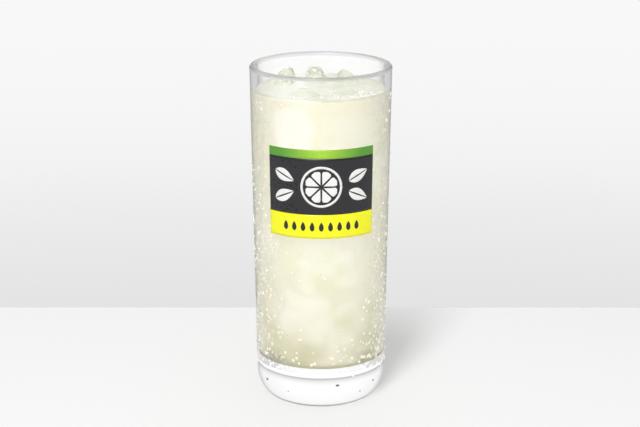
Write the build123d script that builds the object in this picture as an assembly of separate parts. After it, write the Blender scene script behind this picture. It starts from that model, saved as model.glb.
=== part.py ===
from build123d import *
from math import hypot, sqrt
import os

# A tall straight-sided tumbler of lemonade with floating ice.
# Origin: middle of the resting ring, +Z up, the front of the glass faces -Y. Millimetres.

# Tumbler
height = 160.0
rim_radius = 33.0  # outer, at the lip
base_radius = 30.7  # outer, at the top of the heel
wall = 2.9
base_thickness = 20.0  # solid glass under the cavity
cavity_corner = 5.0  # round between the cavity's floor and its wall
heel_width = 8.5  # how far the heel draws in
heel_height = 14.0
punt_radius = 15.0  # shallow hollow under the base, inside the resting ring
punt_depth = 1.4

# Lemonade
headspace = 11.2  # rim down to the surface of the drink

# Ice: thick slabs that float in two rows and break the surface
ice_width = 11.0
ice_depth = 15.0
ice_height = 19.0
ice_round = 2.6
ice_gap = 0.5  # between neighbours in a row and between the rows
ice_wall_gap = 0.6  # least space between ice and glass
back_row_shift = -2.4  # middle of the back row, along X
front_row_shift = 2.5
back_row_setback = 0.0  # further in from the wall than the gap, along Y
front_row_setback = 3.5

# Each slab: lean about X, lean about Y, turn about Z, and rise above the drink
back_row = [(6, -14, -14, 8.2), (-5, 6, -9, 7.0), (7, 12, 14, 6.1)]
front_row = [(9, -8, 72, 4.6), (-8, 7, 106, 3.4)]

level = height - headspace
slab_round = min(ice_round, 0.45 * min(ice_width, ice_depth, ice_height))


def outer_radius(z):
    """Outer radius of the tapered wall at a height."""
    slope = (rim_radius - base_radius) / (height - wall / 2 - heel_height)
    return base_radius + slope * (z - heel_height)


def cavity_radius(z):
    return outer_radius(z) - wall


def ice_room():
    """Radius that the ice keeps within, from the cavity at the depth the slabs reach."""
    return cavity_radius(level - ice_height) - ice_wall_gap


def make_tumbler():
    lip_z = height - wall / 2
    corner_z = base_thickness + cavity_corner
    with BuildPart() as part:
        with BuildSketch(Plane.XZ):
            with BuildLine():
                # underside: punt, resting ring, heel
                ThreePointArc(
                    (0, punt_depth),
                    (punt_radius * 0.5, punt_depth * 0.75),
                    (punt_radius, 0),
                )
                Line((punt_radius, 0), (base_radius - heel_width, 0))
                EllipticalCenterArc(
                    (base_radius - heel_width, heel_height),
                    heel_width,
                    heel_height,
                    start_angle=270,
                    arc_size=90,
                )
                # outer wall, fully rounded lip, inner wall
                Line((base_radius, heel_height), (rim_radius, lip_z))
                ThreePointArc(
                    (rim_radius, lip_z),
                    (rim_radius - wall / 2, height),
                    (rim_radius - wall, lip_z),
                )
                Line((rim_radius - wall, lip_z), (cavity_radius(corner_z), corner_z))
                # cavity corner and floor
                RadiusArc(
                    (cavity_radius(corner_z), corner_z),
                    (cavity_radius(corner_z) - cavity_corner, base_thickness),
                    cavity_corner,
                )
                Line((cavity_radius(corner_z) - cavity_corner, base_thickness), (0, base_thickness))
                Line((0, base_thickness), (0, punt_depth))
            make_face()
        revolve(axis=Axis.Z)
    return part.part


def make_cavity(top, inset):
    """What the glass can hold up to a height, drawn in from the wall by an inset."""
    corner_z = base_thickness + cavity_corner
    corner_r = cavity_radius(corner_z) - inset
    with BuildPart() as part:
        with BuildSketch(Plane.XZ):
            with BuildLine():
                Line((0, base_thickness), (corner_r - cavity_corner, base_thickness))
                RadiusArc(
                    (corner_r - cavity_corner, base_thickness),
                    (corner_r, corner_z),
                    -cavity_corner,
                )
                Line((corner_r, corner_z), (cavity_radius(top) - inset, top))
                Line((cavity_radius(top) - inset, top), (0, top))
                Line((0, top), (0, base_thickness))
            make_face()
        revolve(axis=Axis.Z)
    return part.part


def make_slab(lean_x, lean_y, turn):
    """One slab of ice, leaning, centred on the origin."""
    with BuildPart() as part:
        Box(ice_width, ice_depth, ice_height)
        fillet(part.edges(), slab_round)
    return part.part.rotate(Axis.X, lean_x).rotate(Axis.Y, lean_y).rotate(Axis.Z, turn)


def round_centres(lean_x, lean_y, turn):
    """Centres of the eight corner rounds of a leaning slab."""
    centres = []
    for x in (-1, 1):
        for y in (-1, 1):
            for z in (-1, 1):
                corner = Vector(
                    x * (ice_width / 2 - slab_round),
                    y * (ice_depth / 2 - slab_round),
                    z * (ice_height / 2 - slab_round),
                )
                corner = corner.rotate(Axis.X, lean_x).rotate(Axis.Y, lean_y)
                centres.append(corner.rotate(Axis.Z, turn))
    return centres


def row_offset(x, side, centres, half_depth, setback):
    """How far from the middle a slab lies: out to the glass, but on its own side."""
    room = ice_room() - slab_round
    nearest = ice_gap / 2 + half_depth
    reach = [room**2 - (x + centre.X) ** 2 for centre in centres]
    if min(reach) <= 0:
        return nearest
    offsets = [sqrt(r) - side * centre.Y for r, centre in zip(reach, centres)]
    return max(nearest, min(offsets) - setback)


def place_row(row, side, middle, setback):
    """Lay a row of slabs side by side along X, and cut back any that meet the glass."""
    slabs = [make_slab(lean_x, lean_y, turn) for lean_x, lean_y, turn, rise in row]
    boxes = [slab.bounding_box() for slab in slabs]
    length = sum(box.size.X for box in boxes) + ice_gap * (len(row) - 1)
    left = middle - length / 2
    placed = []
    for slab, box, (lean_x, lean_y, turn, rise) in zip(slabs, boxes, row):
        x = left + box.size.X / 2
        centres = round_centres(lean_x, lean_y, turn)
        y = side * row_offset(x, side, centres, box.size.Y / 2, setback)
        slab = slab.moved(Location((x, y, level + rise - box.max.Z)))
        reach = max(hypot(x + centre.X, y + centre.Y) for centre in centres) + slab_round
        if reach > ice_room() + 0.01:
            slab = slab & Cylinder(ice_room(), 2 * height)
        placed.append(slab)
        left += box.size.X + ice_gap
    return placed


def make_ice():
    ice = place_row(back_row, 1, back_row_shift, back_row_setback)
    return ice + place_row(front_row, -1, front_row_shift, front_row_setback)


def make_lemonade(ice):
    drink = make_cavity(level, 0)
    for slab in ice:
        drink = drink - slab
    return drink


ice = make_ice()
nodes = {"tumbler": make_tumbler(), "lemonade": make_lemonade(ice)}
for number, slab in enumerate(ice, 1):
    nodes[f"ice_{number}"] = slab

os.makedirs("parts", exist_ok=True)
for name, shape in nodes.items():
    solids = shape.solids()
    print(name, len(solids), "solid", round(shape.volume / 1000, 2), "cm3", shape.bounding_box())
    export_step(shape if len(solids) > 1 else solids[0], f"parts/{name}.step")
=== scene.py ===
import bpy
import numpy as np
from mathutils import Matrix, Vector


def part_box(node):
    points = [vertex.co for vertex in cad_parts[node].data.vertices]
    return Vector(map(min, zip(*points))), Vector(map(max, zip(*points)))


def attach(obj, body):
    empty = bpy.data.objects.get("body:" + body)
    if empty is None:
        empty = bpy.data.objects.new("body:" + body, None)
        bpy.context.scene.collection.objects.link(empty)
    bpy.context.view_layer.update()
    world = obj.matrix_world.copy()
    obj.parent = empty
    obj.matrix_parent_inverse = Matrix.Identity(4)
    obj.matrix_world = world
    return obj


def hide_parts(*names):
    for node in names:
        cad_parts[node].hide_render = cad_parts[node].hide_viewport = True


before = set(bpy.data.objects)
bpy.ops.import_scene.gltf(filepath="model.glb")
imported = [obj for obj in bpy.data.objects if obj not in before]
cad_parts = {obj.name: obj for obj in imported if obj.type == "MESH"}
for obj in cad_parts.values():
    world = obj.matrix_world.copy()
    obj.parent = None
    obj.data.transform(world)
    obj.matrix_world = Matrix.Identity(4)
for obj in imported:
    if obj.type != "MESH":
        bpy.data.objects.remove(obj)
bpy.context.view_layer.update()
print("frame loaded:", ", ".join(sorted(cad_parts)))

mm = 0.001
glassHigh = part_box("tumbler")[1]
drinkLow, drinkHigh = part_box("lemonade")
floorZ = drinkLow.z / mm  # inside floor of the glass
level = drinkHigh.z / mm  # surface of the drink


def tint(red, green, blue):
    # screen colour 0 to 255 turned into the linear colour that shaders want
    share = np.array([red, green, blue]) / 255
    linear = np.where(share <= 0.04045, share / 12.92, ((share + 0.055) / 1.055) ** 2.4)
    return (*[float(v) for v in linear], 1.0)


def smoothStep(low, high, value):
    # 0 below low, 1 above high, and an S-shaped cubic between them
    share = np.clip((value - low) / (high - low), 0, 1)
    return share * share * (3 - 2 * share)


def gridFaces(rows, columns, wrap=False):
    # quads between neighbouring rows and columns; wrap joins the last column to the first
    index = np.arange(rows * columns).reshape(rows, columns)
    if wrap:
        index = np.hstack([index, index[:, :1]])
    quads = np.stack([index[:-1, :-1], index[:-1, 1:], index[1:, 1:], index[1:, :-1]], -1)
    return quads.reshape(-1, 4)


def makePiece(name, points, faces, materials, slot, replaces=(), faceMaterial=None):
    mesh = bpy.data.meshes.new(name)
    mesh.from_pydata((np.asarray(points) * mm).tolist(), [], [list(face) for face in faces])
    mesh.shade_smooth()
    piece = bpy.data.objects.new(name, mesh)
    for material in materials if isinstance(materials, (list, tuple)) else [materials]:
        mesh.materials.append(material)
    if faceMaterial is not None:
        mesh.polygons.foreach_set("material_index", np.asarray(faceMaterial, np.int32))
    bpy.context.scene.collection.objects.link(piece)
    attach(piece, "root")
    if replaces:
        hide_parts(*replaces)
    return piece


def lathe(profile, segments):
    # each profile point (radius, height) goes round the axis: x is radius times cosine, y is radius times sine;
    # the first and last points lie on the axis and close the ends as poles
    turn = np.linspace(0, 2 * np.pi, segments, endpoint=False)
    radius, height = np.asarray(profile)[1:-1].T
    ring = np.stack([
        radius[:, None] * np.cos(turn), radius[:, None] * np.sin(turn), height[:, None] + 0 * turn,
    ], -1)
    points = ring.reshape(-1, 3)
    count = len(points)
    points = np.vstack([points, [0, 0, profile[0][1]], [0, 0, profile[-1][1]]])
    around = np.arange(segments)
    following = np.roll(around, -1)
    last = count - segments
    bottom = np.stack([np.full(segments, count), following, around], -1)
    top = np.stack([np.full(segments, count + 1), last + around, last + following], -1)
    faces = gridFaces(len(radius), segments, wrap=True).tolist() + bottom.tolist() + top.tolist()
    return points, faces


def arc(centre, radii, start, end, count):
    # points on an ellipse about a centre, from one angle to another in degrees
    angle = np.radians(np.linspace(start, end, count))
    return np.stack([centre[0] + radii[0] * np.cos(angle), centre[1] + radii[1] * np.sin(angle)], -1)


def line(start, end, count):
    return np.linspace(start, end, count)


def join(*runs):
    # runs of profile points end to end, each later run without its first point
    return np.vstack([runs[0]] + [run[1:] for run in runs[1:]])


def addNode(tree, kind, inputs=None, **settings):
    made = tree.nodes.new(kind)
    for key, value in settings.items():
        setattr(made, key, value)
    for key, value in (inputs or {}).items():
        if isinstance(value, bpy.types.NodeSocket):
            tree.links.new(value, made.inputs[key])
        else:
            made.inputs[key].default_value = value
    return made


def newMaterial(name):
    material = bpy.data.materials.new(name)
    material.use_nodes = True
    tree = material.node_tree
    tree.nodes.clear()
    return material, tree, objectPlace(tree)


def finishMaterial(material, shader):
    tree = material.node_tree
    tree.links.new(shader, addNode(tree, "ShaderNodeOutputMaterial").inputs["Surface"])
    return material


def noise(tree, place, scale, detail=3.0, roughness=0.5):
    return addNode(tree, "ShaderNodeTexNoise", {
        "Vector": place, "Scale": scale, "Detail": detail, "Roughness": roughness,
    }).outputs["Fac"]


def ramp(tree, factor, stops):
    # colour stops (position, colour) read by a factor
    made = addNode(tree, "ShaderNodeValToRGB", {"Fac": factor})
    elements = made.color_ramp.elements
    while len(elements) < len(stops):
        elements.new(0.5)
    for element, (position, colour) in zip(elements, stops):
        element.position = position
        element.color = colour
    return made.outputs["Color"]


def mixColour(tree, factor, first, second, blend="MIX"):
    # a Mix node's colour inputs are its seventh and eighth, and its colour output is the third
    made = addNode(tree, "ShaderNodeMix", {0: factor, 6: first, 7: second}, data_type="RGBA", blend_type=blend)
    return made.outputs[2]


def maths(tree, operation, first, second=0.0):
    return addNode(tree, "ShaderNodeMath", {0: first, 1: second}, operation=operation).outputs[0]


def mixShader(tree, factor, first, second):
    return addNode(tree, "ShaderNodeMixShader", {0: factor, 1: first, 2: second}).outputs[0]


def span(tree, value, low, high, toLow=0.0, toHigh=1.0):
    return addNode(tree, "ShaderNodeMapRange", {
        "Value": value, "From Min": low, "From Max": high, "To Min": toLow, "To Max": toHigh,
    }).outputs["Result"]


def fade(tree, distance, reach):
    # reach is the distance in mm where a share starts, the distance where it is full, and the full share
    start, full, share = reach
    return span(tree, distance, start * mm, full * mm, 0.0, share)


def patches(tree, place, pattern):
    # a noise's scale, detail and roughness, the noise where a share starts and where it is full, and the full share
    scale, detail, roughness, start, full, share = pattern
    return span(tree, noise(tree, place, scale, detail, roughness), start, full, 0.0, share)


def product(tree, *factors):
    made = factors[0]
    for factor in factors[1:]:
        made = maths(tree, "MULTIPLY", made, factor)
    return made


def leavesStraight(tree, shader, ray):
    # rays of this kind, mirrored or bent once already, go straight out of the glass
    path = addNode(tree, "ShaderNodeLightPath").outputs
    straight = addNode(tree, "ShaderNodeBsdfTransparent")
    return mixShader(tree, path[ray], shader, straight.outputs[0])


def objectPlace(tree):
    return addNode(tree, "ShaderNodeTexCoord").outputs["Object"]


def axisParts(tree, place):
    return addNode(tree, "ShaderNodeSeparateXYZ", {"Vector": place}).outputs


def bump(tree, height, strength, distance):
    return addNode(tree, "ShaderNodeBump", {
        "Height": height, "Strength": strength, "Distance": distance,
    }).outputs["Normal"]


def lampsPass(tree, shader, colour, roomColour=(1, 1, 1, 1)):
    # light from lamps, and soft light from all round, goes straight through clear glass and water
    path = addNode(tree, "ShaderNodeLightPath").outputs
    for ray, share in (("Is Diffuse Ray", roomColour), ("Is Shadow Ray", colour)):
        straight = addNode(tree, "ShaderNodeBsdfTransparent", {"Color": share})
        shader = mixShader(tree, path[ray], shader, straight.outputs[0])
    return shader


tumbler = {
    "height": glassHigh.z / mm,
    "rimRadius": glassHigh.x / mm,
    "baseRadius": 30.7,
    "wall": 2.9,
    "corner": 5.0,
    "heelWidth": 8.5,
    "heelHeight": 14.0,
    "baseTop": 17.4,  # solid glass below this lets what it bends straight out
    # painted shade on the foot at each height: a dark outline at its lowest edge by the table, a fine dark line where
    # the foot begins
    "footShade": [(0, 0.24), (1.2, 0.27), (1.9, 0.58), (2.9, 1.0), (13.6, 1.0), (14.6, 0.86), (15.4, 0.72),
                  (16.2, 0.52), (16.6, 0.32), (17.0, 0.30), (17.2, 1.0)],
    # painted shade on the lip: how grey it is at each angle round its edge, from the outside over the top to the inside
    "lipShade": [(0, 0.86), (18, 0.66), (40, 0.50), (74, 0.42), (98, 0.48), (116, 0.74), (160, 0.86), (180, 0.82)],
    "lipFade": (0.5, 0.6),  # outside and inside
    "puntRadius": 20.0,
    "puntDepth": 1.0,
    "segments": 256,
    "evenRings": (18, 154),  # heights between which the wall's rings are evenly spaced
    "colour": (0.995, 1.0, 0.998, 1),
    "lampColour": (0.97, 0.972, 0.97, 1),
    "roughness": 0.0,
    "lipRoughness": 0.3,  # fire-polished, it blurs what is seen through it
    "lipCool": 0.07,  # share of red and green that the lip takes out
    "waves": (60, 0.06, 0.0002),  # scale, strength and depth of the wall's slow waves
    "ior": 1.5,
    "baseIor": 1.25,
    # painted shade at the glass's outline: how the glass darkens as it turns away: share turned, grey share
    "wallOutline": [(0.50, 1.0), (0.72, 0.89), (0.84, 0.50), (1.0, 0.42)],
    "baseOutline": [(0.24, 1.0), (0.44, 0.90), (0.64, 0.80), (0.77, 0.42), (0.85, 0.22), (1.0, 0.12)],
    # more painted shade: how much further round the heel's lowest edge counts as turned, and, in patches, where the
    # wall meets the base
    "heelTurn": (3.2, 0.0, 0.34),
    "kneeBottom": (18.0, 19.2, 1.0),
    "kneeTop": (24.0, 22.5, 1.0),
    "kneePatches": (420, 3.0, 0.6, 0.34, 0.52, 0.50),
    "lipDepth": (1.2, 2.2),  # mm, how far below the top the lip is in full, and begins
}


def outerRadius(z):
    # the wall's taper: a straight line from the top of the heel to the lip
    top = tumbler["height"] - tumbler["wall"] / 2
    rise = (z - tumbler["heelHeight"]) / (top - tumbler["heelHeight"])
    return tumbler["baseRadius"] + (tumbler["rimRadius"] - tumbler["baseRadius"]) * rise


def innerRadius(z):
    return outerRadius(z) - tumbler["wall"]


def tumblerProfile():
    # half section from the punt's middle, out round the heel, up the wall, over the lip and down inside
    t = tumbler
    lipZ = t["height"] - t["wall"] / 2
    cornerZ = floorZ + t["corner"]
    low, high = t["evenRings"]
    across = np.linspace(0, 1, 24)
    punt = np.stack([across * t["puntRadius"], t["puntDepth"] * (0.5 + 0.5 * np.cos(across * np.pi))], -1)
    ring = line((t["puntRadius"], 0), (t["baseRadius"] - t["heelWidth"], 0), 4)
    heel = arc((t["baseRadius"] - t["heelWidth"], t["heelHeight"]), (t["heelWidth"], t["heelHeight"]), 270, 360, 28)
    wall = join(line((t["baseRadius"], t["heelHeight"]), (outerRadius(low), low), 21),
                line((outerRadius(low), low), (outerRadius(high), high), 45),
                line((outerRadius(high), high), (t["rimRadius"], lipZ), 14))
    lip = arc((t["rimRadius"] - t["wall"] / 2, lipZ), (t["wall"] / 2, t["wall"] / 2), 0, 180, 20)
    inside = join(line((t["rimRadius"] - t["wall"], lipZ), (innerRadius(high), high), 14),
                  line((innerRadius(high), high), (innerRadius(cornerZ), cornerZ), 45))
    corner = arc((innerRadius(cornerZ) - t["corner"], cornerZ), (t["corner"], t["corner"]), 0, -90, 14)
    floor = line((innerRadius(cornerZ) - t["corner"], floorZ), (0, floorZ), 8)
    return join(punt, ring, heel, wall, lip, inside, corner, floor)


def glassShade(points):
    # painted shade of the glass as a grey share: a table of heights on the heel, a table of angles round the lip that
    # fades down the wall
    t = tumbler
    radius, height = np.hypot(points[:, 0], points[:, 1]), points[:, 2]
    onHeel = (radius > t["baseRadius"] - t["heelWidth"] + 0.5) & (height < t["baseTop"])
    shade = np.where(onHeel, np.interp(height, *np.array(t["footShade"]).T), 1)
    lipZ, lipRadius = t["height"] - t["wall"] / 2, t["rimRadius"] - t["wall"] / 2
    turn = np.degrees(np.arctan2(np.maximum(height - lipZ, 0), radius - lipRadius))
    lip = np.interp(turn, *np.array(t["lipShade"]).T)
    share = smoothStep(np.where(radius > lipRadius, *t["lipFade"]), 0, lipZ - height)
    return np.where(share > 0, 1 - (1 - lip) * share, shade)


def greyStops(pairs):
    return [(place, (grey, grey, grey, 1)) for place, grey in pairs]


def glassMaterial(name, colour, lampColour, ior, roughness, waveSize, straightRay, outline=None):
    # waveSize is the scale, strength and depth of the bump; an outline also brings the painted shade that the points
    # carry, and paints more shade where the glass turns away
    t = tumbler
    material, tree, place = newMaterial(name)
    scale, strength, depth = waveSize
    waves = bump(tree, noise(tree, place, scale, 2.0), strength, depth)
    shader = addNode(tree, "ShaderNodeBsdfPrincipled", {
        "Base Color": colour, "Roughness": roughness, "IOR": ior, "Transmission Weight": 1.0, "Normal": waves,
    })
    if outline:
        shade = addNode(tree, "ShaderNodeAttribute", attribute_name="paintedShadeTint").outputs["Color"]
        shade = mixColour(tree, 1.0, shade, colour, "MULTIPLY")
        # painted shade at the outline, deeper at the heel and in patches where the wall meets the base
        facing = addNode(tree, "ShaderNodeLayerWeight", {"Blend": 0.5}).outputs["Facing"]
        height = axisParts(tree, place)["Z"]
        facing = maths(tree, "ADD", facing, fade(tree, height, t["heelTurn"]))
        knee = product(tree, fade(tree, height, t["kneeBottom"]), fade(tree, height, t["kneeTop"]),
                       patches(tree, place, t["kneePatches"]))
        facing = maths(tree, "ADD", facing, knee)
        lipFull, lipStart = [(t["height"] - below) * mm for below in t["lipDepth"]]
        lip = span(tree, height, lipStart, lipFull, roughness, t["lipRoughness"])
        tree.links.new(lip, shader.inputs["Roughness"])
        shade = mixColour(tree, 1.0, shade, ramp(tree, facing, greyStops(outline)), "MULTIPLY")
        tree.links.new(shade, shader.inputs["Base Color"])
    shader = leavesStraight(tree, shader.outputs[0], straightRay)
    return finishMaterial(material, lampsPass(tree, shader, lampColour))


clearGlass, baseGlass = [
    glassMaterial(name, tumbler["colour"], tumbler["lampColour"], ior, tumbler["roughness"], tumbler["waves"], ray,
                  outline)
    for name, ior, ray, outline in (
        ("clearGlass", tumbler["ior"], "Is Reflection Ray", tumbler["wallOutline"]),
        ("baseGlass", tumbler["baseIor"], "Is Glossy Ray", tumbler["baseOutline"]),
    )
]
points, faces = lathe(tumblerProfile(), tumbler["segments"])
low = np.array([points[face, 2].max() < tumbler["baseTop"] for face in faces])
glass = makePiece("tumblerGlass", points, faces, [clearGlass, baseGlass], "clear_glass", ["tumbler"], low)
# painted shade on the glass's points, its red and green taken down a little at the lip
shade = glassShade(points)
paintedShadeTint = glass.data.attributes.new("paintedShadeTint", "FLOAT_COLOR", "POINT")
lipFull, lipStart = [tumbler["height"] - below for below in tumbler["lipDepth"]]
cool = 1 - tumbler["lipCool"] * smoothStep(lipStart, lipFull, points[:, 2])
paintedShadeTint.data.foreach_set("color", np.stack([shade * cool, shade * cool, shade, np.ones(len(shade))], -1).ravel())
print("tumbler made:", len(faces), "faces")


ice = {
    "nodes": [f"ice_{n}" for n in range(1, 6)],
    "squareness": 3.6,  # of the rounded block, 2 is an ellipsoid
    "dents": 0.5,  # mm, melted hollows
    "topTaper": 0.25,  # how much narrower a block has melted above the drink
    "topLean": (2.4, -1.0, -2.4, 0, 0),  # mm, how far each block's melted top lies to the right
    "meltFrom": (level - 1, level + 2.5),
    "rings": 40,
    "around": 64,
    "colour": (0.94, 0.945, 0.895, 1),
    "frostColour": (0.86, 0.90, 0.80, 1),
    "lampColour": (0.93, 0.94, 0.90, 1),
    "cloudShare": 0.62,  # size of the white heart
    "cloudSquareness": 2.6,
    "cloudDents": 1.2,
    "cloudGrid": (16, 28),
    "cloudDark": (0.78, 0.80, 0.68, 1),
    "cloudLight": (0.90, 0.91, 0.82, 1),
    "seed": 4,
}


def slabFrame(node):
    # centre, the three main directions and the half sizes of a slab, from where its corners lie
    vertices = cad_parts[node].data.vertices
    spots = np.empty(len(vertices) * 3)
    vertices.foreach_get("co", spots)
    spots = spots.reshape(-1, 3) / mm
    centre = (spots.min(0) + spots.max(0)) / 2
    axes = np.linalg.svd(spots - spots.mean(0), full_matrices=False)[2]
    if np.linalg.det(axes) < 0:
        axes[2] *= -1
    along = (spots - centre) @ axes.T
    return centre + axes.T @ ((along.max(0) + along.min(0)) / 2), axes, (along.max(0) - along.min(0)) / 2


def blockPoints(half, squareness, dents, rings, around, rng, waves=5):
    # a rounded block: each direction on a sphere is carried out to where the sum of |x/a|^n, |y/b|^n and |z/c|^n is 1,
    # then pushed in by a few slow sine waves for melted hollows; the poles are single points
    polar = np.linspace(0, np.pi, rings + 2)[1:-1, None]
    turn = np.linspace(0, 2 * np.pi, around, endpoint=False)[None]
    aim = np.stack([
        np.sin(polar) * np.cos(turn), np.sin(polar) * np.sin(turn), np.cos(polar) + 0 * turn,
    ], -1).reshape(-1, 3)
    aim = np.vstack([aim, [0, 0, 1], [0, 0, -1]])
    aim = aim * half
    reach = (np.abs(aim / half) ** squareness).sum(1) ** (-1 / squareness)
    body = aim * reach[:, None]
    push = np.zeros(len(body))
    for _ in range(waves):
        direction = rng.normal(size=3)
        direction *= rng.uniform(0.25, 0.7) / np.linalg.norm(direction)
        push += np.sin(body @ direction + rng.uniform(0, 6.28)) / waves
    size = np.linalg.norm(body, axis=1, keepdims=True)
    return body * (1 - dents * (0.5 + 0.5 * push[:, None]) / size)


def ballFaces(rings, around):
    # quads of a grid that goes round, and triangles that close it at a top and a bottom point listed after it
    count = rings * around
    column = np.arange(around)
    following = np.roll(column, -1)
    last = count - around
    quads = gridFaces(rings, around, wrap=True)[:, ::-1]
    top = np.stack([np.full(around, count), column, following], -1)
    bottom = np.stack([np.full(around, count + 1), last + following, last + column], -1)
    return quads, np.vstack([top, bottom])


def blockFaces(rings, around):
    quads, triangles = ballFaces(rings, around)
    return quads.tolist() + triangles.tolist()


def iceMaterial():
    material, tree, place = newMaterial("wetIce")
    frost = noise(tree, place, 260, 4.0, 0.6)
    shader = addNode(tree, "ShaderNodeBsdfPrincipled", {
        "Base Color": mixColour(tree, frost, ice["colour"], ice["frostColour"]),
        "Roughness": 0.06, "IOR": 1.31, "Transmission Weight": 0.8,
        "Normal": bump(tree, noise(tree, place, 420, 3.0), 0.35, 0.0004),
    })
    return finishMaterial(material, lampsPass(tree, shader.outputs[0], ice["lampColour"]))


def cloudMaterial():
    material, tree, place = newMaterial("iceCloud")
    shader = addNode(tree, "ShaderNodeBsdfPrincipled", {
        "Base Color": mixColour(tree, noise(tree, place, 300, 4.0), ice["cloudDark"], ice["cloudLight"]),
        "Roughness": 0.7, "Normal": bump(tree, noise(tree, place, 700, 4.0), 0.6, 0.0005),
    })
    return finishMaterial(material, shader.outputs[0])


wetIce = iceMaterial()
iceCloud = cloudMaterial()
iceRng = np.random.default_rng(ice["seed"])
floating = {node: slabFrame(node) for node in ice["nodes"]}
for (node, (centre, axes, half)), lean in zip(floating.items(), ice["topLean"]):
    block = blockPoints(half, ice["squareness"], ice["dents"], ice["rings"], ice["around"], iceRng) @ axes
    melted = smoothStep(*ice["meltFrom"], block[:, 2:] + centre[2])
    block[:, :2] = block[:, :2] * (1 - ice["topTaper"] * melted) + melted * [lean, 0]
    makePiece(f"{node}_block", block + centre, blockFaces(ice["rings"], ice["around"]), wetIce, "ice", [node])
    heart = blockPoints(half * ice["cloudShare"], ice["cloudSquareness"], ice["cloudDents"], *ice["cloudGrid"], iceRng)
    makePiece(f"{node}_cloud", heart @ axes + centre, blockFaces(*ice["cloudGrid"]), iceCloud, "ice")
print("floating ice made:", len(floating), "blocks")


drink = {
    "intoWall": 0.15,  # mm, past the inside of the glass
    "meniscus": 1.0,  # mm, climb at the glass
    "meniscusFade": 1.3,
    "iceClimb": 0.6,
    "iceClimbFade": 1.2,
    "ripple": 0.10,
    "segments": 288,
    "light": tint(255, 254, 238),
    "body": tint(251, 247, 217),
    "low": tint(222, 217, 183),
    "deep": tint(206, 200, 165),
    # painted shade at the sides, in mottled grain
    "flankDark": tint(211, 209, 188),
    "flankLight": tint(253, 251, 232),
    "warm": tint(254, 243, 224),
    # painted shade, dark and grainy, low in the front corners
    "paintedCornerShade": tint(112, 112, 102),  # low at the sides
    # painted shade: a dark line along the drink's bottom edge, darkest at the sides
    "bottomLine": tint(196, 194, 158),
    "bottomFlank": tint(96, 96, 84),
    "surfaceDark": tint(220, 221, 203),
    "surfaceLight": tint(240, 240, 224),
    "surfaceEdge": tint(213, 213, 194),
    # painted light: a brighter patch on the surface left of the middle
    "surfaceLit": tint(254, 254, 244),
    # clouds and grain in it, as patches
    "clouds": (40, 2.0, 0.45, 0.35, 0.75, 0.7),
    "deepPatches": (130, 3.0, 0.6, 0.45, 0.75, 0.12),
    "warmPatches": (38, 2.0, 0.5, 0.48, 0.68, 0.6),
    "flankGrain": (420, 3.0, 0.6, 0.38, 0.62, 1.0),
    "paintedCornerGrain": (520, 3.0, 0.6, 0.40, 0.54, 1.0),
    "surfaceMottle": (240, 3.0, 0.5, 0.4, 0.65, 1.0),
    # where they lie, as fades: to the sides, up from the floor, towards the front
    "depthFade": (18, 150, 1.0),
    "flankFade": (17, 30, 0.42),
    "paintedCornerSide": (14, 19, 0.6),
    "paintedCornerHeight": (29.0, 23.5, 1.0),
    "paintedCornerFront": (-12, -18, 1.0),
    "bottomFade": (23.2, 21.5, 1.0),
    "surfaceFade": (level - 0.6, level - 0.1, 0.85),
    "surfaceSides": (14, 27, 0.7),
    "litFade": (12, 4, 0.8),
    "litMiddle": -13,
    "foot": tint(252, 252, 251),
    "footGrey": tint(200, 200, 206),
    "footFade": (8, 18, 1.0),
    "footStreaks": (160, 3.0, 0.5, 0.35, 0.6, 1.0),
    # painted light: the underside's glow
    "footGlow": 0.25,
    # ice that floats lower down, seen faintly where it nears the glass: angle from the front, height, depth in
    # from the glass, half sizes, turn
    "sunken": [
        (6, 68, 6.0, (12, 8, 7), 12), (-14, 46, 4.5, (10, 9, 10), -12), (22, 42, 5.0, (9, 9, 8), 24),
        (66, 112, 4.5, (6, 7, 9), 15), (-24, 131, 3.2, (7, 8, 13), 6), (30, 128, 7.0, (9, 7, 7), -18),
        (-62, 84, 5.0, (7, 8, 9), 30), (120, 60, 5.0, (9, 8, 7), 0), (165, 95, 5.0, (8, 9, 9), 20),
        (-130, 120, 5.0, (9, 8, 7), -30), (-150, 50, 5.0, (9, 9, 8), 10), (80, 40, 5.0, (8, 8, 9), 40),
    ],
    "sunkenFade": 3.4,
    "clearFrom": 120,  # height from which sunken ice shows most
    # painted light: a faint glow where sunken ice shows
    "iceGlow": 0.07,
    "iceShare": 0.52,
    "iceColour": tint(255, 254, 243),
    "iceEdgeShare": 0.08,
    "iceEdge": tint(214, 213, 188),
    "lampColour": (0.16, 0.15, 0.12, 1),  # what a cloudy drink lets through
    "lampLow": (0.6, 0.59, 0.55, 1),  # and near the clear foot
    "lampFade": (24, 55, 1.0),
    "roomColour": (0.90, 0.89, 0.84, 1),
}


def frontPoint(angle, radius):
    # place at an angle in degrees from the front, positive to the right seen from the front
    turn = np.radians(angle)
    return np.array([radius * np.sin(turn), -radius * np.cos(turn)])


def shaded(colour, share):
    return (colour[0] * share, colour[1] * share, colour[2] * share, 1.0)


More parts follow.
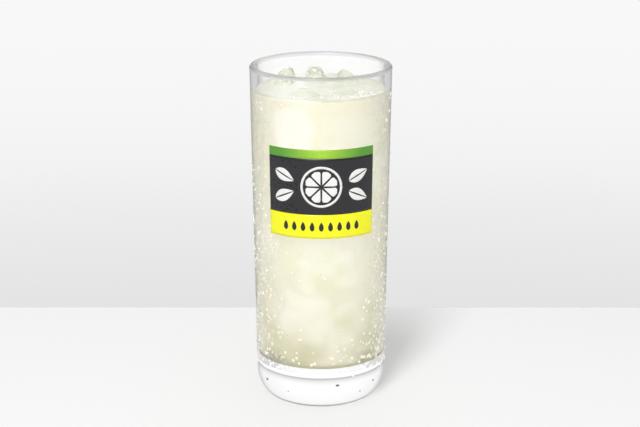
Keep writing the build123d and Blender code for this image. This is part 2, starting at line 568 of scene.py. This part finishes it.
def sunkenShow(points):
    # how clearly sunken ice shows at each place, and its darker outline: the first is 1 at a block's face and fades
    # with the distance to it, the second is a narrow bell a little way out
    show, edge = np.zeros(len(points)), np.zeros(len(points))
    for angle, height, depth, half, turn in drink["sunken"]:
        share = 0.5 + 0.5 * smoothStep(drink["clearFrom"] - 40, drink["clearFrom"], height)
        out = np.radians(angle)
        centre = np.array([*frontPoint(angle, innerRadius(height) - depth - half[1] / 2), height])
        aside = np.array([np.cos(out), np.sin(out), 0])
        inward = np.array([-np.sin(out), np.cos(out), 0])
        lean = np.radians(turn)
        first = aside * np.cos(lean) + np.array([0, 0, np.sin(lean)])
        third = np.cross(first, inward)
        local = (points - centre) @ np.stack([first, inward, third]).T
        outside = np.linalg.norm(np.maximum(np.abs(local) - np.array(half) * 0.8, 0), axis=1)
        outside = outside + 1.3 * np.sin(points[:, 2] * 0.42 + out * 5) * np.cos(points[:, 0] * 0.31 + angle)
        show = np.maximum(show, share * smoothStep(drink["sunkenFade"] * 2, 0, outside))
        edge = np.maximum(edge, np.exp(-((outside - drink["sunkenFade"] * 1.2) / 0.9) ** 2))
    return show, edge


def surfaceRise(points):
    # how far the drink's surface stands over its level: it climbs by a falling exponential towards the glass and
    # each block of ice, and ripples by a product of a sine and a cosine away from the glass
    d = drink
    inward = innerRadius(level) + d["intoWall"] - np.hypot(points[:, 0], points[:, 1])
    climb = d["meniscus"] * np.exp(-inward / d["meniscusFade"])
    for centre, axes, half in floating.values():
        away = np.linalg.norm(np.maximum(np.abs((points - centre) @ axes.T) - half * 0.85, 0), axis=1)
        climb = np.maximum(climb, d["iceClimb"] * np.exp(-away / d["iceClimbFade"]))
    ripple = d["ripple"] * np.sin(points[:, 0] * 0.33 + 1) * np.cos(points[:, 1] * 0.27 + 0.5)
    return climb + ripple * smoothStep(0, 4, inward)


def drinkShape():
    # the cavity's own profile a touch into the wall, up to the level, then a surface that climbs where it meets
    # the glass and each block of ice
    d, t = drink, tumbler
    cornerZ = floorZ + t["corner"]
    cornerR = innerRadius(cornerZ)
    bottom = line((0, floorZ - d["intoWall"]), (cornerR - t["corner"], floorZ - d["intoWall"]), 10)
    corner = arc((cornerR - t["corner"], cornerZ), (t["corner"] + d["intoWall"],) * 2, -90, 0, 10)
    heights = np.linspace(cornerZ, level, 128)
    wall = np.stack([innerRadius(heights) + d["intoWall"], heights], -1)
    topRadius = innerRadius(level) + d["intoWall"]
    reach = topRadius * (1 - np.linspace(0, 1, 60) ** 1.5)
    surface = np.stack([reach, np.full(len(reach), level)], -1)
    profile = join(bottom, corner, wall, surface)
    points, faces = lathe(profile, d["segments"])
    onTop = points[:, 2] > level - 1e-6
    points[:, 2] += np.where(onTop, surfaceRise(points), 0)
    return points, faces


def lemonadeMaterial():
    d = drink
    material, tree, place = newMaterial("cloudyLemonade")
    parts = axisParts(tree, place)
    height, aside = parts["Z"], maths(tree, "ABSOLUTE", parts["X"])
    depth = ramp(tree, fade(tree, height, d["depthFade"]), [
        (0.02, d["deep"]), (0.12, d["low"]), (0.42, d["body"]), (1.0, d["body"]),
    ])
    body = mixColour(tree, patches(tree, place, d["clouds"]), depth, d["light"])
    body = mixColour(tree, patches(tree, place, d["deepPatches"]), body, d["deep"])
    body = mixColour(tree, patches(tree, place, d["warmPatches"]), body, d["warm"])
    show = addNode(tree, "ShaderNodeAttribute", attribute_name="sunkenIce").outputs["Fac"]
    edge = addNode(tree, "ShaderNodeAttribute", attribute_name="sunkenEdge").outputs["Fac"]
    body = mixColour(tree, maths(tree, "MULTIPLY", show, d["iceShare"]), body, d["iceColour"])
    body = mixColour(tree, maths(tree, "MULTIPLY", edge, d["iceEdgeShare"]), body, d["iceEdge"])
    # the sides darker in mottled grain: painted shade
    flank = fade(tree, aside, d["flankFade"])
    grain = mixColour(tree, patches(tree, place, d["flankGrain"]), d["flankDark"], d["flankLight"])
    body = mixColour(tree, flank, body, grain)
    # painted shade in the lower front corners, in grain
    paintedCornerShade = product(tree, fade(tree, aside, d["paintedCornerSide"]), fade(tree, height, d["paintedCornerHeight"]),
                   fade(tree, parts["Y"], d["paintedCornerFront"]), patches(tree, place, d["paintedCornerGrain"]))
    body = mixColour(tree, paintedCornerShade, body, d["paintedCornerShade"])
    # painted shade along the bottom edge, darker at the sides
    bottomLine = mixColour(tree, flank, d["bottomLine"], d["bottomFlank"])
    body = mixColour(tree, fade(tree, height, d["bottomFade"]), body, bottomLine)
    surface = mixColour(tree, patches(tree, place, d["surfaceMottle"]), d["surfaceDark"], d["surfaceLight"])
    surface = mixColour(tree, fade(tree, aside, d["surfaceSides"]), surface, d["surfaceEdge"])
    # painted light: a brighter patch on the surface left of the middle
    fromLit = maths(tree, "ABSOLUTE", maths(tree, "SUBTRACT", parts["X"], d["litMiddle"] * mm))
    surface = mixColour(tree, fade(tree, fromLit, d["litFade"]), surface, d["surfaceLit"])
    body = mixColour(tree, fade(tree, height, d["surfaceFade"]), body, surface)
    shader = addNode(tree, "ShaderNodeBsdfPrincipled", {
        "Base Color": body, "Roughness": 0.28, "IOR": 1.33, "Subsurface Weight": 0.25,
        "Subsurface Radius": (1.0, 0.9, 0.6), "Subsurface Scale": 0.003,
        "Emission Color": d["iceColour"], "Emission Strength": maths(tree, "MULTIPLY", show, d["iceGlow"]),
        "Normal": bump(tree, noise(tree, place, 900, 3.0), 0.12, 0.0002),
    })
    through = mixColour(tree, fade(tree, height, d["lampFade"]), d["lampLow"], d["lampColour"])
    return finishMaterial(material, lampsPass(tree, shader.outputs[0], through, d["roomColour"]))


def footMaterial():
    # the underside of the drink, with a painted glow that stands in for the light coming down through it, and greyer
    # streaks towards the sides
    d = drink
    material, tree, place = newMaterial("lemonadeFoot")
    flank = fade(tree, maths(tree, "ABSOLUTE", axisParts(tree, place)["X"]), d["footFade"])
    streaks = product(tree, flank, patches(tree, place, d["footStreaks"]))
    shader = addNode(tree, "ShaderNodeBsdfPrincipled", {
        "Base Color": mixColour(tree, streaks, d["foot"], d["footGrey"]),
        "Roughness": 0.4, "Emission Color": d["foot"], "Emission Strength": d["footGlow"],
    })
    return finishMaterial(material, lampsPass(tree, shader.outputs[0], d["lampColour"], d["roomColour"]))


points, faces = drinkShape()
under = np.array([points[face, 2].max() < floorZ + 1.0 for face in faces])
lemonade = makePiece(
    "lemonadeDrink", points, faces, [lemonadeMaterial(), footMaterial()], "lemonade", ["lemonade"], under)
for name, share in zip(("sunkenIce", "sunkenEdge"), sunkenShow(points)):
    lemonade.data.attributes.new(name, "FLOAT", "POINT").data.foreach_set("value", share.astype(np.float32))
print("lemonade made:", len(faces), "faces")


def domeShape(contact, around, rings):
    # a round cap one unit across its foot, as steep at the foot as the contact angle, closed by a shallow point beneath
    lean = np.radians(contact)
    polar = (lean * np.arange(1, rings + 1) / rings)[:, None]
    turn = np.linspace(0, 2 * np.pi, around, endpoint=False)[None]
    ball = 1 / np.sin(lean)
    cap = np.stack([
        ball * np.sin(polar) * np.cos(turn), ball * np.sin(polar) * np.sin(turn),
        ball * np.cos(polar) - ball * np.cos(lean) + 0 * turn,
    ], -1).reshape(-1, 3)
    spots = np.vstack([cap, [0, 0, ball - ball * np.cos(lean)], [0, 0, -0.3]])
    return spots, *ballFaces(rings, around)


def scatterDomes(shape, foot, normal, upward, width, tall, proud, sink):
    # one copy of the dome at each foot point: across by width, up the wall by tall, out by proud, sunk by sink
    spots, quads, triangles = shape
    aside = np.cross(upward, normal)
    placed = (
        foot[:, None] + aside[:, None] * (spots[:, 0] * width[:, None])[..., None]
        + upward[:, None] * (spots[:, 1] * tall[:, None])[..., None]
        + normal[:, None] * (spots[:, 2] * proud[:, None] - sink)[..., None]
    )
    shift = (np.arange(len(foot)) * len(spots))[:, None, None]
    faces = (quads + shift).reshape(-1, 4).tolist() + (triangles + shift).reshape(-1, 3).tolist()
    return placed.reshape(-1, 3), faces


def wallSpots(angle, height, radius):
    # foot, outward normal and up-the-wall direction at an angle from the front and a height
    turn = np.radians(angle)
    outward = np.stack([np.sin(turn), -np.cos(turn), 0 * turn], -1)
    slope = (tumbler["rimRadius"] - tumbler["baseRadius"]) / (tumbler["height"] - tumbler["heelHeight"])
    upward = outward * slope + np.array([0, 0, 1])
    upward /= np.linalg.norm(upward, axis=1, keepdims=True)
    normal = outward - np.array([0, 0, slope])
    normal /= np.linalg.norm(normal, axis=1, keepdims=True)
    foot = outward * radius[:, None] + np.array([0, 0, 1]) * height[:, None]
    return foot, normal, upward


def spread(rng, count, crowd, low, high):
    # random angles and heights, kept by how crowded each place is
    angle = rng.uniform(-180, 180, count * 12)
    height = rng.uniform(low, high, count * 12)
    kept = rng.uniform(0, 1, count * 12) < crowd(angle, height)
    return angle[kept][:count], height[kept][:count]


def drawSizes(rng, footRange, power, count):
    # sizes between two limits, more of the small ones where the power is under 1
    low, high = footRange
    return low + (high - low) * rng.power(power, count)


beads = {
    "seed": 11,
    "count": 620,
    "heights": (16, 150),
    "footRange": (0.3, 1.0),  # mm
    "dome": (52, 10, 3),  # contact angle in degrees, points around, rings
    "colour": tint(252, 252, 244),
    "lampColour": (0.97, 0.97, 0.97, 1),
    "glow": 0.10,
}


def beadCrowd(angle, height):
    # many on the lower sides, a few low on the left, none on the panel, fewer behind
    side = np.abs(angle)
    flank = smoothStep(48, 66, side)
    lowLeft = np.exp(-((angle + 42) / 10) ** 2 - ((height - 40) / 7) ** 2)
    left = (angle < 0) * smoothStep(128, 96, height)
    right = (angle > 0) * smoothStep(100, 60, height)
    onPanel = (np.abs(height - 106) < 24) & (side < 50)
    thinned = np.where(onPanel, 0, 1 - 0.4 * smoothStep(90, 120, side))
    return thinned * np.clip(0.02 + flank * (0.25 + 0.75 * (left + right)) + 0.3 * lowLeft, 0, 1)


# painted light: a near-white colour and a glow make the beads read bright
def beadMaterial():
    material, tree, place = newMaterial("waterBead")
    shader = addNode(tree, "ShaderNodeBsdfPrincipled", {
        "Base Color": mixColour(tree, noise(tree, place, 700, 2.0), beads["colour"], shaded(beads["colour"], 0.95)),
        "Roughness": 0.05, "IOR": 1.33, "Transmission Weight": 0.45,
        "Emission Color": beads["colour"], "Emission Strength": beads["glow"],
    })
    return finishMaterial(material, lampsPass(tree, shader.outputs[0], beads["lampColour"]))


waterBead = beadMaterial()
beadRng = np.random.default_rng(beads["seed"])
angle, height = spread(beadRng, beads["count"], beadCrowd, *beads["heights"])
size = drawSizes(beadRng, beads["footRange"], 0.7, len(angle))
foot, normal, upward = wallSpots(angle, height, outerRadius(height))
tall = size * beadRng.uniform(0.95, 1.35, len(size))
domes = scatterDomes(domeShape(*beads["dome"]), foot, normal, upward, size, tall, size * 0.9, 0.04)
makePiece("condensation", *domes, waterBead, "clear_glass")
print("condensation made:", len(angle), "beads")


bubbles = {
    "seed": 23,
    "count": 760,
    "footRange": (0.3, 0.95),
    "dome": (60, 10, 3),
    "colour": tint(248, 245, 218),
    "glow": 0.17,
}


def bubbleCrowd(angle, height):
    # many low down and at the sides, a row just above the floor, fewer behind
    side = np.abs(angle)
    flank = smoothStep(30, 58, side)
    low = smoothStep(50, 24, height)
    row = np.exp(-((height - floorZ - 4) / 2.5) ** 2)
    thinned = 1 - 0.55 * smoothStep(80, 115, side)
    crowd = 0.05 + 0.7 * flank * smoothStep(125, 80, height) + (0.3 + 0.3 * flank) * low + 0.6 * row
    return thinned * np.clip(crowd, 0, 1)


# painted light: a pale colour and a glow make bubbles and foam read bright
def bubbleMaterial(name, colour, glow):
    material, tree, place = newMaterial(name)
    shader = addNode(tree, "ShaderNodeBsdfPrincipled", {
        "Base Color": mixColour(tree, noise(tree, place, 400, 2.0), colour, shaded(colour, 0.9)),
        "Roughness": 0.12, "IOR": 1.33, "Emission Color": colour, "Emission Strength": glow,
    })
    return finishMaterial(material, shader.outputs[0])


bubbleSkin = bubbleMaterial("bubbleSkin", bubbles["colour"], bubbles["glow"])
bubbleRng = np.random.default_rng(bubbles["seed"])
angle, height = spread(bubbleRng, bubbles["count"], bubbleCrowd, floorZ + 1.5, level - 2)
size = drawSizes(bubbleRng, bubbles["footRange"], 1.1, len(angle))
foot, normal, upward = wallSpots(angle, height, innerRadius(height) + drink["intoWall"])
domes = scatterDomes(domeShape(*bubbles["dome"]), foot, normal, upward, size, size, size * 0.7, 0.05)
makePiece("wallBubbles", *domes, bubbleSkin, "lemonade")
print("wall bubbles made:", len(angle))


foam = {
    "seed": 31,
    "count": 150,
    "footRange": (0.35, 1.1),
    "dome": (75, 12, 4),
    "heapAngle": 34,  # degrees from the front, the side it has drifted to
    "heapWidth": 26,
    "colour": tint(250, 250, 238),
    "glow": 0.08,
}
foamRng = np.random.default_rng(foam["seed"])
angle = foamRng.uniform(-180, 180, foam["count"] * 6)
reach = innerRadius(level) - 1.0 - foamRng.exponential(4.5, len(angle))
heaped = 0.06 + 0.94 * np.exp(-((angle - foam["heapAngle"]) / foam["heapWidth"]) ** 2)
kept = (reach > 4) & (foamRng.uniform(0, 1, len(angle)) < heaped)
angle, reach = angle[kept][:foam["count"]], reach[kept][:foam["count"]]
size = drawSizes(foamRng, foam["footRange"], 0.6, len(angle))
foot = np.stack([*frontPoint(angle, reach), np.full(len(angle), level)], -1)
foot[:, 2] += surfaceRise(foot)
normal, upward = np.broadcast_to([0.0, 0, 1], foot.shape), np.broadcast_to([0.0, 1, 0], foot.shape)
domes = scatterDomes(domeShape(*foam["dome"]), foot, normal, upward, size, size, size, 0.05)
foamSkin = bubbleMaterial("foamSkin", foam["colour"], foam["glow"])
makePiece("surfaceFoam", *domes, foamSkin, "lemonade")
print("foam made:", len(angle))


drops = {
    # dark beads that cling to the foot: angle from the front, height, half width, half height
    "onFoot": [(-56, 11.5, 0.95, 0.6), (14.7, 13.2, 1.0, 0.55), (54, 11.3, 0.7, 0.45), (37, 8.4, 0.5, 0.3),
               (-30, 9.0, 0.35, 0.25), (110, 10.5, 0.7, 0.5), (170, 12.2, 0.6, 0.45), (-120, 9.5, 0.7, 0.5)],
    # and small ones over the left of the printed panel, off its leaves
    "seed": 47,
    "count": 130,
    "angles": (-45.5, -19.0),
    "heights": (97.8, 121.8),
    "leafAngle": -31.2,
    "leafHeights": (105.4, 114.6),
    "leafReach": (12.5, 4.4),  # half width in degrees, half height
    "footRange": (0.26, 0.62),
    "dome": (52, 14, 4),
    # painted shade: the clear water drops are darkened by this colour
    "colour": tint(100, 102, 99),
    "lampColour": (0.9, 0.9, 0.9, 1),
    "ior": 1.33,
    "roughness": 0.05,
    "waves": (700, 0.1, 0.0001),
}
dropMaterial = glassMaterial("darkDrop", *[drops[key] for key in ("colour", "lampColour", "ior", "roughness", "waves")],
                             "Is Reflection Ray")
dropRng = np.random.default_rng(drops["seed"])
angle = drops["angles"][0] + np.ptp(drops["angles"]) * dropRng.uniform(0, 1, drops["count"]) ** 1.2
height = dropRng.uniform(*drops["heights"], drops["count"])
across = drawSizes(dropRng, drops["footRange"], 0.7, drops["count"])
clear = np.ones(len(angle), bool)
for leafHeight in drops["leafHeights"]:
    aside = (angle - drops["leafAngle"]) / drops["leafReach"][0]
    clear &= aside ** 2 + ((height - leafHeight) / drops["leafReach"][1]) ** 2 > 1
onFoot = np.array(drops["onFoot"])
angle, height = np.append(onFoot[:, 0], angle[clear]), np.append(onFoot[:, 1], height[clear])
wide, tall = np.append(onFoot[:, 2], across[clear]), np.append(onFoot[:, 3], across[clear] * 1.1)
foot, normal, upward = wallSpots(angle, height, outerRadius(height))
domes = scatterDomes(domeShape(*drops["dome"]), foot, normal, upward, wide, tall, tall * 0.9, 0.03)
makePiece("darkDrops", *domes, dropMaterial, "clear_glass")
print("dark drops made:", len(angle))


panel = {
    "middle": 0.4,  # degrees from the front
    "halfAngle": 46.3,
    "bottom": 85.5,
    "yellowTop": 96.8,
    "greenBottom": 123.0,
    "top": 127.2,
    "fieldProud": 0.05,  # mm
    "motifProud": 0.085,
    "sunk": 0.03,
    "wheelRadius": 9.6,
    "wheelRind": 1.1,
    "segmentReach": (1.0, 7.7),  # from the wheel's middle
    "segmentGap": 0.9,
    "leafAside": 17.6,
    "leafRise": 4.6,
    "leafLean": 24,  # degrees
    "leafSize": (10.5, 5.4),
    "seedGap": 4.2,
    "seedSize": (4.4, 2.2),
    "green": tint(92, 160, 52),
    # lighter green at the panel's middle: partly the print, partly painted glare
    "limeAndGlare": tint(176, 224, 62),  # at the middle of the green
    "middleFade": (18, 1, 1.0),
    "inkMottle": (700, 4.0, 0.5, 0.35, 0.7, 0.5),
    "greenMottle": (700, 4.0, 0.5, 0.35, 0.7, 0.12),
    "inkRoughness": 0.32,
    "charcoal": tint(37, 37, 40),
    "yellow": tint(255, 254, 24),
    "white": tint(248, 248, 244),
    "lampColour": (0.8, 0.8, 0.8, 1),  # a thin print lets lamp light on to the drink behind it
}


def wrapSheet(flat, proud, sunk):
    # a flat grid (along the surface, up) is wrapped round the glass: angle is length over radius; an outer and an
    # inner sheet are joined along their four edges
    rows, columns = flat.shape[:2]
    radius = outerRadius(flat[..., 1])
    turn = np.radians(panel["middle"]) + flat[..., 0] / radius
    sheets = [np.stack([
        (radius + lift) * np.sin(turn), -(radius + lift) * np.cos(turn), flat[..., 1],
    ], -1).reshape(-1, 3) for lift in (proud, -sunk)]
    count = rows * columns
    quads = gridFaces(rows, columns)
    index = np.arange(count).reshape(rows, columns)
    edge = np.concatenate([index[0, :-1], index[:-1, -1], index[-1, :0:-1], index[:0:-1, 0]])
    following = np.roll(edge, -1)
    rim = np.stack([edge, edge + count, following + count, following], -1)
    return np.vstack(sheets), np.vstack([quads, quads[:, ::-1] + count, rim])


def mergeSheets(sheets):
    # flat shapes wrapped one by one and joined into one mesh
    points, faces, start = [], [], 0
    for sheetPoints, sheetFaces in [wrapSheet(flat, panel["motifProud"], 0.0) for flat in sheets]:
        points.append(sheetPoints)
        faces.append(sheetFaces + start)
        start += len(sheetPoints)
    return np.vstack(points), np.vstack(faces)


def fieldSheet(bottom, top, rows):
    # a band right across the panel between two heights, its ends at the panel's half angle
    up, along = np.meshgrid(np.linspace(bottom, top, rows), np.linspace(-1, 1, 97), indexing="ij")
    return np.stack([along * np.radians(panel["halfAngle"]) * outerRadius(up), up], -1)


def turned(centre, angle, x, y):
    # flat places turned by an angle in degrees, then moved to a centre
    turn = np.radians(angle)
    return np.stack([centre[0] + x * np.cos(turn) - y * np.sin(turn),
                     centre[1] + x * np.sin(turn) + y * np.cos(turn)], -1)


def wedgeSheet(centre, angle, inner, outer, gap):
    # a rounded lemon segment: its width grows with the distance out, less a gap, and its corners are drawn in
    out, across = np.meshgrid(np.linspace(0, 1, 15), np.linspace(-1, 1, 9), indexing="ij")
    reach = inner + (outer - inner) * out
    drawnIn = np.sqrt(np.clip(1 - np.abs(2 * out - 1) ** 5, 0, 1))
    half = np.maximum(reach * np.tan(np.radians(22.5)) - gap / 2, 0.05) * drawnIn
    return turned(centre, angle, reach - (half * across) ** 2 / (2 * outer) * out, half * across)


def ringSheet(centre, inner, outer, count=73):
    # a flat ring between two radii
    out, turn = np.meshgrid([inner, outer], np.linspace(0, 2 * np.pi, count), indexing="ij")
    return np.stack([centre[0] + out * np.cos(turn), centre[1] + out * np.sin(turn)], -1)


def leafSheet(centre, angle, length, width, side):
    # half a leaf: from the rib out to an edge that swells and narrows as a sine to a power
    along, across = np.meshgrid(np.linspace(0, 1, 19), np.linspace(0.08, 1, 6), indexing="ij")
    half = width / 2 * np.sin(np.pi * along ** 0.8) ** 0.9
    return turned(centre, angle, (along - 0.5) * length, side * across * half + side * 0.12)


def seedSheet(centre, length, width):
    # a drop-shaped seed, standing up
    along, across = np.meshgrid(np.linspace(0, 1, 13), np.linspace(-1, 1, 5), indexing="ij")
    half = width / 2 * np.sin(np.pi * along ** 0.75) ** 0.8
    return np.stack([centre[0] + half * across, centre[1] + (along - 0.5) * length], -1)


def inkMaterial(name, darker, mottle="inkMottle", middle=None):
    # the ink's colour, or a blend to another one at the panel's middle (for the green, partly print and partly painted
    # glare), darkens by a share in fine patches
    material, tree, place = newMaterial(name + "Ink")
    colour = panel[name]
    dark = shaded(colour, darker)
    if middle:
        aside = maths(tree, "ABSOLUTE", axisParts(tree, place)["X"])
        colour = mixColour(tree, fade(tree, aside, panel["middleFade"]), colour, panel[middle])
    shader = addNode(tree, "ShaderNodeBsdfPrincipled", {
        "Base Color": mixColour(tree, patches(tree, place, panel[mottle]), colour, dark),
        "Roughness": panel["inkRoughness"], "IOR": 1.45,
        "Normal": bump(tree, noise(tree, place, 1500, 3.0), 0.12, 0.00005),
    })
    return finishMaterial(material, lampsPass(tree, shader.outputs[0], panel["lampColour"]))


charcoalInk = inkMaterial("charcoal", 0.8)
yellowInk = inkMaterial("yellow", 0.94)
whiteInk = inkMaterial("white", 0.93)
greenInk = inkMaterial("green", 0.7, "greenMottle", "limeAndGlare")

for name, bottom, top, rows, ink, slot in (
    ("panelYellow", panel["bottom"], panel["yellowTop"], 9, yellowInk, "print_yellow"),
    ("panelCharcoal", panel["yellowTop"], panel["greenBottom"], 21, charcoalInk, "print_charcoal"),
    ("panelGreen", panel["greenBottom"], panel["top"], 5, greenInk, "print_green"),
):
    points, faces = wrapSheet(fieldSheet(bottom, top, rows), panel["fieldProud"], panel["sunk"])
    makePiece(name, points, faces, ink, slot)

motifMiddle = (panel["yellowTop"] + panel["greenBottom"]) / 2
wheel = [ringSheet((0, motifMiddle), panel["wheelRadius"] - panel["wheelRind"], panel["wheelRadius"])]
for angle in np.arange(22.5, 360, 45):
    wheel.append(wedgeSheet((0, motifMiddle), angle, *panel["segmentReach"], panel["segmentGap"]))
for side in (-1, 1):
    for up in (1, -1):
        leafMiddle = (side * panel["leafAside"], motifMiddle + up * panel["leafRise"])
        for half in (-1, 1):
            wheel.append(leafSheet(leafMiddle, side * up * panel["leafLean"], *panel["leafSize"], half))
makePiece("panelMotif", *mergeSheets(wheel), whiteInk, "print_white")
seedMiddle = (panel["bottom"] + panel["yellowTop"]) / 2
seeds = [seedSheet((panel["seedGap"] * n, seedMiddle), *panel["seedSize"]) for n in range(-4, 5)]
makePiece("panelSeeds", *mergeSheets(seeds), charcoalInk, "print_charcoal")
print("printed panel made")


studio = {
    "tableBack": 0.122,  # m
    "tableFront": -2.2,
    "tableThick": 0.03,
    "tableRoll": 0.004,
    "tableHalfWidth": 2.4,
    "tableColour": (0.955, 0.955, 0.955, 1),
    "tableThrough": 1.05,  # how bright it is where it is seen through the glass
    "keyPower": 20.5,
    "keyAim": (-0.17, -0.52, 0.84),
    "keyDistance": 2.0,
    "keyWide": 0.34,
    "keyTall": 1.1,
    "roomLight": 0.80,
    "roomRight": 0.14,
    "roomSide": 0.32,
    "sideFrom": 0.15,
    "wallHeights": (-0.34, -0.14),
    "wallGreys": [(0.05, 227), (0.21, 232), (0.35, 237), (0.46, 242), (0.64, 246), (0.85, 248)],
    # how bright the room looks in the glass at each share of the way round to the sides
    "flags": [(0.06, 1.0), (0.12, 0.97), (0.19, 0.82), (0.30, 0.42), (0.42, 0.48), (0.62, 0.64), (1.0, 0.66)],
    "topDark": 0.45,
    "topFrom": 0.38,
    "topTo": 0.65,
}


def addTable():
    # a flat top whose edge rolls down and under at the back and front: a profile carried along the table's width
    back, front, thick, roll = [studio[key] for key in ("tableBack", "tableFront", "tableThick", "tableRoll")]
    edge = np.radians(np.linspace(0, 90, 8))
    backEdge = np.stack([back - roll + roll * np.sin(edge), -roll + roll * np.cos(edge)], -1)
    profile = np.vstack([[front, -thick], [front, 0.0], [front + 0.5, 0.0], backEdge, [back, -thick]])
    sideways = np.array([-1, 1]) * studio["tableHalfWidth"]
    grid = np.stack(np.broadcast_arrays(
        sideways[:, None], profile[None, :, 0], profile[None, :, 1]), -1).reshape(-1, 3)
    mesh = bpy.data.meshes.new("tableTop")
    mesh.from_pydata(grid.tolist(), [], gridFaces(2, len(profile), wrap=True)[:, ::-1].tolist())
    table = bpy.data.objects.new("tableTop", mesh)
    material, tree, place = newMaterial("paleTable")
    colour = studio["tableColour"]
    shader = addNode(tree, "ShaderNodeBsdfPrincipled", {
        "Base Color": mixColour(tree, noise(tree, place, 6), colour, shaded(colour, 0.985)), "Roughness": 0.6,
    })
    through = addNode(tree, "ShaderNodeEmission", {"Color": colour, "Strength": studio["tableThrough"]})
    ray = addNode(tree, "ShaderNodeLightPath").outputs["Is Transmission Ray"]
    mesh.materials.append(finishMaterial(material, mixShader(tree, ray, shader.outputs[0], through.outputs[0])))
    bpy.context.scene.collection.objects.link(table)


def addRoom():
    # soft even light for the object; what shows behind it and in the glass is a pale wall, darker low down and
    # at the sides
    world = bpy.data.worlds.new("room")
    bpy.context.scene.world = world
    world.use_nodes = True
    tree = world.node_tree
    tree.nodes.clear()
    aim = addNode(tree, "ShaderNodeTexCoord").outputs["Generated"]
    parts = axisParts(tree, aim)
    wall = ramp(tree, span(tree, parts["Z"], *studio["wallHeights"]), [
        (place, tint(grey, grey, grey)) for place, grey in studio["wallGreys"]])
    aside = maths(tree, "ABSOLUTE", parts["X"])
    flags = ramp(tree, aside, greyStops(studio["flags"]))
    flags = maths(tree, "MULTIPLY", flags, span(
        tree, parts["Z"], studio["topFrom"], studio["topTo"], 1.0, studio["topDark"]))
    path = addNode(tree, "ShaderNodeLightPath").outputs
    soft = span(tree, aside, studio["sideFrom"], 1.0, studio["roomLight"], studio["roomLight"] * studio["roomSide"])
    soft = maths(tree, "ADD", soft, maths(tree, "MULTIPLY", parts["X"], studio["roomRight"]))
    lit = addNode(tree, "ShaderNodeBackground", {"Color": (1, 1, 1, 1), "Strength": soft})
    shown = addNode(tree, "ShaderNodeBackground", {"Color": wall})
    flagged = addNode(tree, "ShaderNodeBackground", {"Color": (1, 1, 1, 1), "Strength": flags})
    shader = lit.outputs[0]
    for ray, seen in (("Is Camera Ray", shown), ("Is Glossy Ray", flagged), ("Is Transmission Ray", flagged)):
        shader = mixShader(tree, path[ray], shader, seen.outputs[0])
    tree.links.new(shader, addNode(tree, "ShaderNodeOutputWorld").inputs["Surface"])


def addLamp(name, power, aim, distance, wide, tall):
    # an upright soft box that faces the middle of the glass from a direction
    lamp = bpy.data.lights.new(name, "AREA")
    lamp.shape = "RECTANGLE"
    lamp.energy = power
    lamp.size = wide
    lamp.size_y = tall
    holder = bpy.data.objects.new(name, lamp)
    way = np.array(aim) / np.linalg.norm(aim)
    middle = np.array([0, 0, 0.08])
    holder.location = middle + way * distance
    holder.rotation_euler = Vector(way).to_track_quat("Z", "Y").to_euler()
    bpy.context.scene.collection.objects.link(holder)


addTable()
addRoom()
addLamp("keySoftBox", studio["keyPower"], studio["keyAim"], studio["keyDistance"], studio["keyWide"], studio["keyTall"])

view = {"distance": 0.7709, "height": 0.311, "aside": -0.00038, "pitch": 16.11, "lens": 95.625}
camera = bpy.data.cameras.new("camera")
camera.lens = view["lens"]
camera.sensor_width = 36
camera.clip_start = 0.01
cameraObject = bpy.data.objects.new("camera", camera)
cameraObject.location = (view["aside"], -view["distance"], view["height"])
cameraObject.rotation_euler = (np.radians(90 - view["pitch"]), 0, 0)
bpy.context.scene.collection.objects.link(cameraObject)
bpy.context.scene.camera = cameraObject
bpy.context.scene.view_settings.view_transform = "Standard"
print("studio made")
